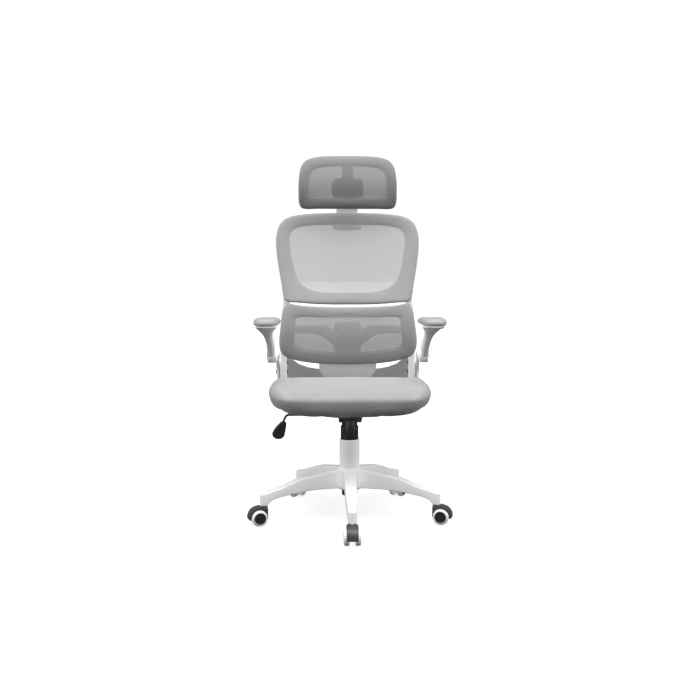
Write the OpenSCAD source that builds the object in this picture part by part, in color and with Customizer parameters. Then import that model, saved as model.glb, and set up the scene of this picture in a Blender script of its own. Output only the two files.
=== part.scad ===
// Ergonomic swivel chair with a mesh back, a lumbar pad, flip-up arms and an adjustable headrest.
// The column stands on the origin, the floor is z = 0 and the front of the seat looks along -Y.

/* [Base] */
// Distance from the column to the end of a leg
base_r = 301.5; // [290:0.5:310]
// Height of the top of the hub
hub_top = 161; // [158:1:164]
// Radius of a caster wheel
wheel_r = 25; // [24:0.5:25]
// Distance from a caster's stem to its axle
caster_trail = 17.6; // [16:0.1:18]

/* [Seat] */
// Width of the cushion
seat_w = 528; // [500:2:530]
// Front edge of the cushion, ahead of the column
seat_front = 262; // [250:1:270]
// Rear edge of the cushion, behind the column
seat_rear = 200; // [190:1:202]
// Height of the top of the cushion with the lift down
seat_top = 445; // [440:1:450]

/* [Back] */
// Backward lean of the upper back, in degrees
back_lean = 15; // [14:0.5:16]
// How far forward the middle of the upper back stands at its lower edge
back_y = 225; // [222:1:228]
// Radius of the curve that wraps the back round the sitter
back_wrap = 1015; // [900:5:1200]

/* [Arms] */
// Height of the flip-up pivot
arm_pivot_z = 510; // [508:1:518]
// Distance of the flip-up pivot behind the column
arm_pivot_y = 190; // [185:1:195]
// How far each flip-up axis is turned outward, in degrees
arm_splay = 10; // [9:0.5:11]

/* [Hidden] */
$fn = 72;

// Colours
white = [0.88, 0.88, 0.89];
dark = [0.13, 0.13, 0.14];
grey = [0.70, 0.70, 0.71];
mesh_grey = [0.76, 0.76, 0.76];
steel = [0.60, 0.61, 0.62];
plywood = [0.72, 0.58, 0.40];

// Fits
run = 0.05;       // radial clearance of a pin or shaft that turns or slides
gap = 0.3;        // clearance between faces of different pieces

// Base and casters
tip_r = 12.9;
stem_at = base_r - tip_r;
stem_r = 5.5;
hood_half = 17.5;
hood_r = 33;
hood_top = 60;
web_half = 8;
axle_r = 3;
axle_half = 22;
wheel_in = 8.6;
wheel_out = 26;
leg_bore_top = 92;

// Column
tube_r = 25;
tube_bore = 22;
tube_top = 250;
tube_bottom = 72;
rod_r = 5;
cyl_r = 14;
cyl_bore = 12.5;
cyl_bottom = 95;
cyl_top = 322;
button_r = 3;
cover_low_r = 33;
cover_mid_r = 29;
cover_up_r = 25.4;

// Tilt mechanism
pivot_y = -50;
pivot_z = 350;
pivot_r = 6;
wall_in = 33;
wall_out = 36;
knob_y = -100;
knob_r = 21.5;
knob_top = 316;
front_floor = 337;
plate_bottom = 369;
lever_z = 336;
lever_r = 4;
lever_pin_x = -37;
board_bottom = 372;
board_top = 384;
board_inset = 26;

// Back, lumbar and headrest
ring_t = 14;
mesh_t = 3;
back_ref_z = 700;
lumbar_r = 200;
lumbar_y = 160;
lumbar_z = 585;
head_r = 170;
head_y = 215;
head_z = 1095;
head_pin_y = 286;
head_pin_z = 1090;
head_pin_r = 4;
strap_half = 37.5;

// Points on a smooth closed curve through the points p, n to a span
function span_point(a, b, c, d, t) =
    0.5 * (2 * b + (c - a) * t + (2 * a - 5 * b + 4 * c - d) * t * t
    + (3 * b - a - 3 * c + d) * t * t * t);
function closed_curve(p, n) = [
    for (i = [0 : len(p) - 1], k = [0 : n - 1])
        span_point(p[(i + len(p) - 1) % len(p)], p[i], p[(i + 1) % len(p)], p[(i + 2) % len(p)], k / n)
];
// The right half of an outline, from top middle to bottom middle, and its mirror image
function both_sides(half) = concat(half, [for (i = [len(half) - 2 : -1 : 1]) [-half[i][0], half[i][1]]]);
function outline(half) = closed_curve(both_sides(half), 4);

// The points p, or for s = -1 their mirror image in X
function mirrored(p, s) = s > 0 ? p : [for (i = [len(p) - 1 : -1 : 0]) [-p[i][0], p[i][1]]];

// Half outlines of the upper back, its window, the lumbar pad and the headrest, as [x, z]
upper_half = [
    [0, 1004], [70, 1003], [140, 999], [200, 989], [233, 966], [247, 928], [248, 882], [241, 823],
    [231, 765], [224, 718], [212, 695], [170, 690], [110, 685], [55, 683], [0, 683]
];
upper_window_half = [
    [0, 961], [70, 960], [135, 957.5], [182, 946], [201, 916], [197, 870], [188, 820], [172, 770],
    [140, 741], [96, 727], [48, 725], [0, 725]
];
lumbar_half = [
    [0, 676], [60, 676.5], [120, 679], [170, 683], [206, 688], [221, 668], [230, 617], [236, 565],
    [233, 530], [214, 505], [168, 490], [110, 481], [55, 477], [0, 476]
];
lumbar_window_half = [
    [0, 640], [80, 641], [150, 644], [176, 636], [181, 600], [184, 565], [176, 541], [140, 531],
    [75, 525], [0, 523]
];
head_half = [
    [0, 1195], [55, 1194], [103, 1191], [141, 1179], [160, 1154], [167, 1115], [169, 1068],
    [167, 1030], [152, 1013.5], [100, 1013], [50, 1013], [0, 1013]
];
head_window_half = [
    [0, 1156], [55, 1155], [100, 1151], [123, 1136], [132, 1108], [132, 1075], [122, 1055],
    [80, 1050], [40, 1050], [0, 1050]
];
cushion_half = [
    [0, -seat_front], [90, 2 - seat_front], [170, 12 - seat_front], [222, 45 - seat_front],
    [248, 105 - seat_front], [seat_w / 2 - 2, 190 - seat_front], [seat_w / 2, 285 - seat_front],
    [258, seat_rear - 100], [240, seat_rear - 45], [208, seat_rear - 12], [120, seat_rear - 1],
    [60, seat_rear], [0, seat_rear]
];

module ring_tube(r_out, r_in, z0, z1) {
    translate([0, 0, z0])
        difference() {
            cylinder(r = r_out, h = z1 - z0);
            translate([0, 0, -1]) cylinder(r = r_in, h = z1 - z0 + 2);
        }
}

// A cylinder along X that is 2 * half long
module along_x(r, half, y = 0, z = 0) {
    translate([-half, y, z]) rotate([0, 90, 0]) cylinder(r = r, h = 2 * half);
}

// A profile drawn in Y and Z, made 2 * half thick along X
module side_plate(points, half) {
    translate([-half, 0, 0]) rotate([90, 0, 90]) linear_extrude(2 * half) polygon(points);
}

// An outline drawn in X and Z, made solid from y0 to y1
module front_plate(points, y0, y1) {
    translate([0, y1, 0]) rotate([90, 0, 0]) linear_extrude(y1 - y0) polygon(points);
}

// ---------------------------------------------------------------- base
module leg() {
    half_hub = 21;
    intersection() {
        side_plate([
            [-base_r - 5, 61], [-base_r - 5, 95], [-238, 113], [-171, 138.5], [-37, hub_top - 1],
            [0, hub_top - 1], [0, 99], [-130, 101], [-171, 96], [-224, 90], [-275, 75], [-285, 61]
        ], 30);
        union() {
            translate([0, 0, 50]) linear_extrude(120) polygon([
                [-tip_r + 1.2, -stem_at], [tip_r - 1.2, -stem_at], [17.5, -200], [half_hub, 0], [-half_hub, 0],
                [-17.5, -200]
            ]);
            translate([0, -stem_at, 50]) cylinder(r = tip_r, h = 120);
        }
    }
}

module base_star() {
    wall = 5.5;
    color(white)
        difference() {
            union() {
                for (k = [0 : 4]) rotate([0, 0, 72 * k]) leg();
                translate([0, 0, 90]) cylinder(r = 42, h = hub_top - 90);
            }
            for (k = [0 : 4])
                rotate([0, 0, 72 * k]) {
                    translate([0, -stem_at, 50]) cylinder(r = stem_r, h = leg_bore_top - 50);
                    // hollow underside of the leg
                    side_plate([
                        [-262, 50], [-262, 79], [-238, 106], [-171, 131], [-60, 150], [-60, 50]
                    ], tip_r - wall);
                }
            translate([0, 0, 80]) cylinder(r = tube_r, h = 100);
        }
}

module gas_outer_tube() {
    color(dark)
        difference() {
            translate([0, 0, tube_bottom]) cylinder(r = tube_r, h = tube_top - tube_bottom);
            translate([0, 0, tube_bottom + 4]) cylinder(r = tube_bore, h = tube_top);
            translate([0, 0, tube_bottom - 1]) cylinder(r = rod_r + 1, h = 10);
        }
}

module gas_guide_bush() {
    color(dark) ring_tube(tube_bore, cyl_r + run, tube_top - 80, tube_top);
}

module thrust_bearing() {
    color(steel) ring_tube(14, rod_r + run, tube_bottom + 4, tube_bottom + 10);
}

module cover_lower() {
    color(white)
        union() {
            ring_tube(cover_low_r, cover_low_r - 2, hub_top, 257);
            ring_tube(cover_low_r - 1, cover_mid_r + 0.6, 254, 257);
            ring_tube(cover_low_r - 1, tube_r, hub_top, hub_top + 3);
        }
}

module caster_stems() {
    color(steel)
        for (k = [0 : 4])
            rotate([0, 0, 72 * k])
                translate([0, -stem_at, 32]) cylinder(r = stem_r, h = leg_bore_top - 32);
}

// One caster with its stem on the front leg and its wheels trailing outward
module caster_hood() {
    wheel_y = -stem_at - caster_trail;
    hood_low = wheel_r - 4;
    back_y0 = wheel_y + 27.6;
    color(dark)
        difference() {
            union() {
                intersection() {
                    union() {
                        along_x(hood_r, hood_half, wheel_y, wheel_r);
                        translate([-hood_half, wheel_y, hood_low])
                            cube([2 * hood_half, back_y0 - wheel_y, hood_top - hood_low]);
                    }
                    translate([-30, wheel_y - 40, hood_low]) cube([60, 40 + 27.6, hood_top - hood_low]);
                }
                along_x(11, web_half, wheel_y, wheel_r);
                along_x(axle_r, axle_half, wheel_y, wheel_r);
            }
            for (s = [-1, 1])
                translate([s * (web_half + 20), 0, 0])
                    difference() {
                        along_x(wheel_r + 1.2, 20, wheel_y, wheel_r);
                        along_x(axle_r, 21, wheel_y, wheel_r);
                    }
            translate([0, -stem_at, 31.7]) cylinder(r = stem_r + run, h = 40);
            // narrow neck below the leg
            for (s = [-1, 1])
                translate([s * 22.5 - 10, -stem_at - 14, 54.5]) cube([20, 40, 10]);
        }
}

// A wheel on the side s of the front caster: a tyre with a dished, capped hub
module caster_wheel(s) {
    wheel_y = -stem_at - caster_trail;
    w = wheel_out - wheel_in;
    color(white)
        translate([s * wheel_in, wheel_y, wheel_r])
            rotate([0, s * 90, 0])
                rotate_extrude()
                    polygon([
                        [axle_r + run, 0], [wheel_r - 1.5, 0], [wheel_r, 1.5], [wheel_r, w - 6],
                        [wheel_r - 1.2, w - 3], [wheel_r - 3.6, w - 0.8], [wheel_r - 6, w],
                        [wheel_r - 6.6, w - 1.2], [0, w - 0.6], [0, axle_half - wheel_in + 0.3],
                        [axle_r + run, axle_half - wheel_in + 0.3]
                    ]);
}

// ---------------------------------------------------------------- column
module gas_piston_rod() {
    color(steel)
        union() {
            translate([0, 0, 68]) cylinder(r = rod_r, h = 222);
            translate([0, 0, tube_bottom + 10]) cylinder(r = 9, h = 4);
            translate([0, 0, 290]) cylinder(r = cyl_bore - run, h = 8);
        }
}

module gas_retaining_clip() {
    color(steel) ring_tube(10, rod_r, 69, tube_bottom - gap);
}

module cover_middle() {
    color(dark)
        union() {
            ring_tube(cover_mid_r, cover_mid_r - 1.8, 172, 300);
            ring_tube(cover_mid_r + 1.6, cover_mid_r - 1.8, 172, 176);
            ring_tube(cover_mid_r - 1, cover_up_r + 0.5, 297, 300);
        }
}

module gas_cylinder() {
    color(dark)
        difference() {
            translate([0, 0, cyl_bottom]) cylinder(r = cyl_r, h = cyl_top - cyl_bottom);
            translate([0, 0, cyl_bottom + 10]) cylinder(r = cyl_bore, h = 200);
            translate([0, 0, cyl_bottom - 1]) cylinder(r = rod_r + run, h = 20);
            translate([0, 0, cyl_top - 14]) cylinder(r = button_r + run, h = 20);
        }
}

module gas_release_button() {
    color(steel) translate([0, 0, cyl_top - 7]) cylinder(r = button_r, h = lever_z - lever_r - cyl_top + 6.8);
}

module cover_upper() {
    color(dark) ring_tube(cover_up_r, cover_up_r - 1.8, 252, 317);
}

// ---------------------------------------------------------------- tilt mechanism
module tilt_housing() {
    wall_t = wall_out - wall_in;
    color(dark)
        difference() {
            union() {
                // side walls, whose tops slope away under the tilting seat plate
                for (s = [-1, 1])
                    translate([s * (wall_in + wall_t / 2), 0, 0])
                        side_plate([
                            [-125, front_floor], [-125, 352], [-70, 358], [-20, 356], [75, 339],
                            [75, 321], [-62, 321], [-72, front_floor]
                        ], wall_t / 2);
                translate([-wall_in, -62, 321]) cube([2 * wall_in, 137, 3]);
                translate([-wall_in, -125, front_floor]) cube([2 * wall_in, 58, 3]);
                side_plate([[-62, 321], [-72, front_floor], [-69, front_floor], [-59, 321]], wall_in);
                translate([-wall_in, 72, 321]) cube([2 * wall_in, 3, 18]);
                translate([-wall_in, -125, front_floor]) cube([2 * wall_in, 3, 15]);
                translate([0, 0, 317]) cylinder(r = 35, h = 4);
                translate([0, 0, 302]) cylinder(r = 20, h = 25);
            }
            translate([0, 0, 300]) cylinder(r = cyl_r, h = 40);
            translate([0, knob_y, front_floor - 1]) cylinder(r = 9, h = 6);
            along_x(pivot_r, wall_out + 1, pivot_y, pivot_z);
            // window for the lever's sliding block
            translate([-wall_out - 1, -9.1, lever_z - 8.1]) cube([5, 18.2, 16.2]);
        }
}

module tilt_pivot_pin() {
    color(steel)
        union() {
            along_x(pivot_r, wall_out, pivot_y, pivot_z);
            for (s = [-1, 1])
                translate([s * (wall_out + 1.5), 0, 0]) along_x(pivot_r + 3, 1.5, pivot_y, pivot_z);
        }
}

// Stack of cone washers between the housing and the tension knob
module tension_spring() {
    count = 4;
    pitch = (front_floor - knob_top) / count;
    lip = 1.6;
    outer = 18;
    waist = 13;
    color(dark)
        translate([0, knob_y, knob_top])
            rotate_extrude()
                polygon(concat(
                    [[9, 0], [outer, 0]],
                    [
                        for (i = [0 : count - 1], s = [0, 1])
                            s == 0 ? [outer, i * pitch + lip] : [waist, (i + 0.5) * pitch]
                    ],
                    [[outer, front_floor - knob_top], [9, front_floor - knob_top]]
                ));
}

module tension_knob() {
    lobes = 10;
    color(dark)
        union() {
            translate([0, knob_y, knob_top - 26])
                difference() {
                    cylinder(r = knob_r, h = 26);
                    for (k = [0 : lobes - 1])
                        rotate([0, 0, 360 / lobes * k])
                            translate([knob_r + 3, 0, -1]) cylinder(r = 4.5, h = 21);
                }
            translate([0, knob_y, knob_top - 1]) cylinder(r = 4, h = board_bottom - knob_top);
        }
}

// Block that slides sideways in the housing and carries the lever's pin
module tilt_lock_slider() {
    color(dark)
        union() {
            difference() {
                translate([lever_pin_x - 7, -9, lever_z - 8]) cube([14, 18, 16]);
                translate([lever_pin_x - 8, -lever_r - 0.4, lever_z - 6.5]) cube([16, 2 * lever_r + 0.8, 13]);
            }
            translate([lever_pin_x, 6, lever_z]) rotate([90, 0, 0]) cylinder(r = 1.5, h = 12);
        }
}

lever_bend_x = -205;
lever_end = [-216, 312];
lever_bend_r = 14;
// angle of the rod's lower end from the vertical
lever_slant = atan2(lever_bend_x - lever_end[0], lever_z - lever_end[1]);
lever_turn = 90 - lever_slant;
lever_elbow = [lever_bend_x + lever_bend_r * tan(lever_turn / 2), lever_z - lever_bend_r];

// The slanting end of the lever's rod, from start past the end of its bend
module lever_lower(r, length, start = 0) {
    x = lever_elbow[0] - lever_bend_r * sin(lever_turn);
    z = lever_elbow[1] + lever_bend_r * cos(lever_turn);
    translate([x, 0, z])
        rotate([0, 180 + lever_slant, 0]) translate([0, 0, start]) cylinder(r = r, h = length);
}

module lever_rod() {
    color(dark)
        difference() {
            union() {
                translate([lever_elbow[0], 0, lever_z])
                    rotate([0, 90, 0]) cylinder(r = lever_r, h = 14 - lever_elbow[0]);
                translate([lever_elbow[0], 0, lever_elbow[1]])
                    rotate([90, 0, 0])
                        rotate([0, 0, 90])
                            rotate_extrude(angle = lever_turn) translate([lever_bend_r, 0]) circle(r = lever_r);
                lever_lower(lever_r, 25);
                // collars where the bend begins and ends
                translate([lever_elbow[0] - 2, 0, lever_z])
                    rotate([0, 90, 0]) cylinder(r = lever_r + 0.8, h = 4);
                lever_lower(lever_r + 0.8, 4, -2);
            }
            translate([lever_pin_x, 10, lever_z]) rotate([90, 0, 0]) cylinder(r = 1.5 + run, h = 20);
        }
}

module lever_paddle() {
    color(dark)
        difference() {
            translate([0, 6, 0]) rotate([90, 0, 0])
                linear_extrude(12)
                    polygon([
                        [-223, 312], [-219, 315.5], [-210, 315.5], [-206, 312], [-207, 300], [-212, 284],
                        [-215, 271], [-220, 261], [-230, 256], [-243, 259], [-250, 267], [-250, 278],
                        [-243, 288], [-233, 298]
                    ]);
            lever_lower(lever_r, 25);
        }
}

// ---------------------------------------------------------------- seat
plate_bolts = [[-60, -90], [60, -90], [-60, 80], [60, 80]];
arm_bolts = [[185, 104], [185, 135], [-185, 104], [-185, 135]];

module seat_plate() {
    color(dark)
        difference() {
            union() {
                translate([-80, -112, plate_bottom]) cube([160, 214, board_bottom - plate_bottom - gap / 2]);
                for (s = [-1, 1])
                    translate([s * 30.9, 0, 0])
                        side_plate([
                            [-66, plate_bottom + 1], [-34, plate_bottom + 1], [-40, 342], [-60, 342]
                        ], 1.6);
            }
            along_x(pivot_r + run, 40, pivot_y, pivot_z);
            translate([0, knob_y, plate_bottom - 1]) cylinder(r = 4 + run, h = 6);
            for (b = plate_bolts) translate([b[0], b[1], plate_bottom - 1]) cylinder(r = 3, h = 6);
        }
}

module cushion_plan(inset) {
    scale_x = (seat_w / 2 - inset) / (seat_w / 2);
    mid_y = (seat_rear - seat_front) / 2;
    half_y = (seat_rear + seat_front) / 2;
    scale_y = (half_y - inset) / half_y;
    polygon([for (p = outline(cushion_half)) [p[0] * scale_x, mid_y + (p[1] - mid_y) * scale_y]]);
}

module seat_board() {
    color(plywood)
        difference() {
            translate([0, 0, board_bottom]) linear_extrude(board_top - board_bottom) cushion_plan(board_inset);
            for (b = concat(plate_bolts, arm_bolts))
                translate([b[0], b[1], board_bottom - 1]) cylinder(r = 3, h = 20);
            translate([0, knob_y, board_bottom - 1]) cylinder(r = 6, h = 4);
        }
}

module seat_cushion() {
    bottom = 368;
    color(grey)
        difference() {
            intersection() {
                translate([0, 0, bottom]) linear_extrude(100) cushion_plan(0);
                // rolled front and falling rear
                side_plate([
                    [-seat_front + 6, 373], [-seat_front, 392], [-seat_front + 2, 410], [-seat_front + 12, 427],
                    [-seat_front + 32, 440], [-seat_front + 60, seat_top], [30, seat_top],
                    [seat_rear - 40, seat_top - 9], [seat_rear - 8, seat_top - 18], [seat_rear, seat_top - 30],
                    [seat_rear, 382], [seat_rear - 8, 371], [seat_rear - 24, bottom], [-seat_front + 18, bottom]
                ], seat_w / 2 + 5);
                // crowned top and rounded sides
                front_plate([
                    [-seat_w / 2 + 12, bottom], [seat_w / 2 - 12, bottom], [seat_w / 2 - 4, 378],
                    [seat_w / 2, 393], [seat_w / 2, 411], [seat_w / 2 - 3, 425], [seat_w / 2 - 9, 435],
                    [seat_w / 2 - 22, 442], [seat_w / 2 - 44, seat_top], [-seat_w / 2 + 44, seat_top],
                    [-seat_w / 2 + 22, 442], [-seat_w / 2 + 9, 435], [-seat_w / 2 + 3, 425],
                    [-seat_w / 2, 411], [-seat_w / 2, 393], [-seat_w / 2 + 4, 378]
                ], -300, 250);
            }
            translate([0, 0, bottom - 1])
                linear_extrude(board_top - bottom + 1 + gap) cushion_plan(board_inset - gap);
        }
}

module seat_bolts() {
    color(steel)
        union() {
            for (b = plate_bolts)
                translate([b[0], b[1], 0]) {
                    translate([0, 0, plate_bottom - 4]) cylinder(r = 6.5, h = 4);
                    translate([0, 0, plate_bottom - 1]) cylinder(r = 3, h = board_top - plate_bottom);
                }
            for (b = arm_bolts)
                translate([b[0], b[1], 0]) {
                    translate([0, 0, 348]) cylinder(r = 6.5, h = 4);
                    translate([0, 0, 351]) cylinder(r = 3, h = board_top - 352);
                }
        }
}

// ---------------------------------------------------------------- lower back
module back_bracket() {
    half = 100;
    color(white)
        difference() {
            intersection() {
                side_plate([
                    [92, 360.6], [92, 352], [205, 352], [221, 357], [231, 368], [234, 384], [234, 466],
                    [226, 466], [226, 386], [223, 372], [216, 363], [205, 360.6]
                ], half);
                // narrows towards the seat like half an ellipse
                front_plate([
                    [-100, 466], [-100, 462], [-95, 447], [-84, 432], [-66, 420], [-66, 340],
                    [66, 340], [66, 420], [84, 432], [95, 447], [100, 462], [100, 466]
                ], 80, 260);
            }
            for (x = [-50, 50]) translate([x, 112, 340]) cylinder(r = 3, h = 30);
        }
}

// Front view of the right side post of the frame
post_front = [
    [196, 712], [222, 716], [229, 660], [234, 600], [236.5, 540], [236.5, 434], [226, 430],
    [212, 445], [212, 500], [216, 560], [211, 620], [203, 670]
];

// The curved, leaning shell that the upper back follows, from the depth d0 to d1 behind its face
module back_shell(d0, d1) {
    translate([0, back_y, back_ref_z])
        rotate([-back_lean, 0, 0])
            translate([0, -back_wrap, -120])
                difference() {
                    cylinder(r = back_wrap + d1, h = 480, $fn = 360);
                    translate([0, 0, -1]) cylinder(r = back_wrap + d0, h = 482, $fn = 360);
                    translate([-2000, -4000, -1]) cube([4000, 4000, 500]);
                }
}

module back_frame() {
    color(white)
        difference() {
            union() {
                intersection() {
                    difference() {
                        front_plate(outline(upper_half), 100, 400);
                        front_plate(outline(upper_window_half), 90, 410);
                    }
                    back_shell(gap, ring_t);
                }
                for (s = [-1, 1])
                    intersection() {
                        front_plate(mirrored(post_front, s), 150, 300);
                        side_plate([
                            [208, 425], [250, 425], [249, 520], [240, 620], [228, 722], [210.5, 722],
                            [208.5, 690], [206, 650], [207, 560], [208, 500]
                        ], 300);
                    }
                // crossbar under the lumbar pad
                front_plate([
                    [-214, 436], [-160, 422], [160, 422], [214, 436], [214, 484], [178, 477], [139, 465],
                    [105, 460], [-105, 460], [-139, 465], [-178, 477], [-214, 484]
                ], 234.3, 248);
            }
            for (z = [450, 482]) along_x(4, 240, 228, z);
        }
}

module upper_mesh() {
    color(mesh_grey)
        intersection() {
            front_plate(outline(upper_half), 100, 400);
            back_shell(-mesh_t, 0);
        }
}

// A shell of radius r that bulges forward to front_y at the height mid_z, from the depth d0 to d1
module bulged_shell(r, front_y, mid_z, d0, d1) {
    intersection() {
        difference() {
            along_x(r - d0, 300, front_y + r, mid_z, $fn = 240);
            along_x(r - d1, 310, front_y + r, mid_z, $fn = 240);
        }
        translate([-290, front_y - 50, mid_z - 130]) cube([580, r - 50, 260]);
    }
}
module lumbar_shell(d0, d1) { bulged_shell(lumbar_r, lumbar_y, lumbar_z, d0, d1); }
module head_shell(d0, d1) { bulged_shell(head_r, head_y, head_z, d0, d1); }

module lumbar_frame() {
    color(dark)
        intersection() {
            difference() {
                front_plate(outline(lumbar_half), 100, 300);
                front_plate(outline(lumbar_window_half), 90, 310);
            }
            lumbar_shell(mesh_t + gap, mesh_t + gap + 12);
        }
}

module lumbar_mesh() {
    color(mesh_grey)
        intersection() {
            front_plate(outline(lumbar_half), 100, 300);
            lumbar_shell(0, mesh_t);
        }
}

module lumbar_bracket() {
    lobe_r = 22;
    color(dark)
        union() {
            // spine that stands on the crossbar and the two side lobes
            front_plate([
                [-40, 452], [40, 452], [46, 520], [50, 560], [46, 620], [-46, 620], [-50, 560], [-46, 520]
            ], 248.3, 254);
            for (s = [-1, 1]) {
                hull() {
                    translate([s * 40, 254, 560]) rotate([90, 0, 0]) cylinder(r = lobe_r, h = 8, $fn = 32);
                    translate([s * 84, 200, 598]) rotate([90, 0, 0]) cylinder(r = lobe_r, h = 8, $fn = 32);
                }
                hull() {
                    translate([s * 84, 200, 598]) rotate([90, 0, 0]) cylinder(r = 14, h = 8, $fn = 32);
                    translate([s * 190, 183, 600]) rotate([90, 0, 0]) cylinder(r = 12, h = 5.5, $fn = 32);
                }
            }
        }
}

// Moves its children to the flip-up pivot on the side s, with +Z pointing outward along the axis
module at_arm_pivot(s) {
    translate([s * 243, arm_pivot_y, arm_pivot_z])
        rotate([0, 0, -s * arm_splay]) rotate([0, s * 90, 0]) children();
}

module arm_bracket(s) {
    color(white)
        difference() {
            union() {
                translate([s > 0 ? 239 : -247, 205, 352]) cube([8, 45, 140]);
                // housing that holds the flip-up pivot
                hull() {
                    at_arm_pivot(s) cylinder(r = 25, h = 8, center = true);
                    translate([s * 243, 227, 470]) cube([8, 46, 20], center = true);
                }
                translate([s > 0 ? 150 : -247, 92, 352]) cube([97, 158, 8]);
                translate([s > 0 ? 150 : -205, 92, 352]) cube([55, 55, board_bottom - 352 - gap / 2]);
            }
            for (z = [450, 482])
                translate([s * 243, 228, z]) rotate([0, 90, 0]) cylinder(r = 4, h = 20, center = true);
            for (b = arm_bolts) translate([b[0], b[1], 340]) cylinder(r = 3, h = 40);
            at_arm_pivot(s) {
                cylinder(r = 8 + run, h = 30, center = true);
                translate([0, 0, -34]) cylinder(r = 12.5, h = 30);
            }
            // seats for the heads of the back bolts
            for (z = [450, 482])
                translate([s * 257, 228, z]) rotate([0, 90, 0]) cylinder(r = 7.6, h = 20, center = true);
        }
}
module arm_bracket_left() { arm_bracket(-1); }
module arm_bracket_right() { arm_bracket(1); }

module back_bolts() {
    color(dark)
        for (s = [-1, 1], z = [450, 482])
            translate([s * 240, 228, z])
                rotate([0, s * 90, 0]) {
                    translate([0, 0, -31]) cylinder(r = 4, h = 38);
                    translate([0, 0, 7]) cylinder(r = 7, h = 3.5);
                    translate([0, 0, -31]) cylinder(r = 6, h = 3);
                }
}

// ---------------------------------------------------------------- arms
module arm_pivot(s) {
    color(dark)
        at_arm_pivot(s) {
            translate([0, 0, -5]) cylinder(r = 8, h = 41);
            translate([0, 0, -7]) cylinder(r = 12, h = 2.8);
        }
}
module arm_pivot_left() { arm_pivot(-1); }
module arm_pivot_right() { arm_pivot(1); }

// Side view of the arm, from the pivot up to the pad's support
arm_side = [
    [arm_pivot_y - 24, arm_pivot_z - 6], [arm_pivot_y - 14, arm_pivot_z - 20], [arm_pivot_y, arm_pivot_z - 25],
    [arm_pivot_y + 17, arm_pivot_z - 18], [arm_pivot_y + 25, arm_pivot_z], [arm_pivot_y + 18, arm_pivot_z + 18],
    [arm_pivot_y - 14, arm_pivot_z + 34], [116, 580], [92, 604], [84, 632], [-112, 632], [-112, 624],
    [-20, 617], [20, 604], [52, 584], [92, 556], [132, 532]
];

// Front view of the right arm, which leans outward on its way up and widens under the pad
arm_front = [
    [243, 478], [278, 478], [279, 540], [276, 560], [283, 590], [294, 610], [300, 618], [300, 640],
    [228, 640], [228, 620], [239, 611], [253, 594], [251, 574], [246, 556]
];

module arm(s) {
    color(white)
        difference() {
            intersection() {
                translate([s * 262, 0, 0]) side_plate(arm_side, 32);
                front_plate(mirrored(arm_front, s), -150, 260);
            }
            at_arm_pivot(s) {
                cylinder(r = 8 + run, h = 120, center = true);
                translate([0, 0, 4.6 - 40]) cylinder(r = 60, h = 40);
            }
        }
}
module arm_left() { arm(-1); }
module arm_right() { arm(1); }

pad_half = 41;
pad_x = 262.5;
pad_front = -141;
pad_rear = 100;
pad_side = [
    [pad_front, 642], [pad_front + 4, 636], [pad_front + 14, 632.3], [pad_rear - 10, 632.3], [pad_rear, 638],
    [pad_rear, 644], [pad_rear - 12, 650], [pad_rear - 50, 653.5], [0, 656], [pad_front + 50, 659],
    [pad_front + 14, 655], [pad_front + 3, 649]
];
pad_front_view = [
    [-38, 632], [38, 632], [pad_half, 638], [40, 646], [33, 654], [15, 659], [-15, 659], [-33, 654],
    [-40, 646], [-pad_half, 638]
];
// A number's size raised to the power e, with its sign kept
function signed_pow(v, e) = sign(v) * pow(abs(v), e);

module arm_pad(s) {
    pad_mid = (pad_front + pad_rear) / 2;
    half_length = (pad_rear - pad_front) / 2;
    color(grey)
        intersection() {
            translate([s * pad_x, 0, 0]) side_plate(pad_side, pad_half);
            translate([s * pad_x, pad_mid, 600])
                linear_extrude(100)
                    polygon([
                        for (a = [0 : 5 : 355])
                            [pad_half * signed_pow(cos(a), 0.55), half_length * signed_pow(sin(a), 0.42)]
                    ]);
            translate([s * pad_x, 0, 0]) front_plate(pad_front_view, -160, 120);
        }
}
module arm_pad_left() { arm_pad(-1); }
module arm_pad_right() { arm_pad(1); }

// ---------------------------------------------------------------- headrest
// Moves its children into the leaning plane of the upper back, at its reference height
module on_back() {
    translate([0, back_y, back_ref_z]) rotate([-back_lean, 0, 0]) children();
}

strap_y = 20.5;     // middle of the strap, behind the face of the back
strap_t = 5;
socket_low = 262;
socket_high = 305;
strap_low = 257;
// the headrest's hinge in the leaning plane
head_pin_back = [
    (head_pin_y - back_y) * cos(back_lean) - (head_pin_z - back_ref_z) * sin(back_lean),
    (head_pin_y - back_y) * sin(back_lean) + (head_pin_z - back_ref_z) * cos(back_lean)
];

module headrest_socket() {
    color(white)
        on_back()
            difference() {
                translate([-50, ring_t + gap, socket_low]) cube([100, 12.5, socket_high - socket_low]);
                translate([-strap_half - gap, strap_y - strap_t / 2 - gap, socket_low - 1])
                    cube([2 * strap_half + 2 * gap, strap_t + 2 * gap, socket_high - socket_low + 2]);
            }
}

module headrest_stem() {
    color(white)
        difference() {
            union() {
                on_back()
                    side_plate([
                        [strap_y - strap_t / 2, strap_low], [strap_y + strap_t / 2, strap_low],
                        [strap_y + strap_t / 2, socket_high + 16],
                        [head_pin_back[0] + 2, head_pin_back[1] + 1.7],
                        [head_pin_back[0] - 2, head_pin_back[1] - 1.7],
                        [strap_y - strap_t / 2, socket_high + 14]
                    ], strap_half);
                along_x(9, strap_half + 0.5, head_pin_y, head_pin_z);
            }
            along_x(11, 26, head_pin_y, head_pin_z);
            along_x(head_pin_r + run, 40, head_pin_y, head_pin_z);
        }
}

module headrest_pin() {
    color(steel) along_x(head_pin_r, strap_half, head_pin_y, head_pin_z);
}

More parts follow.
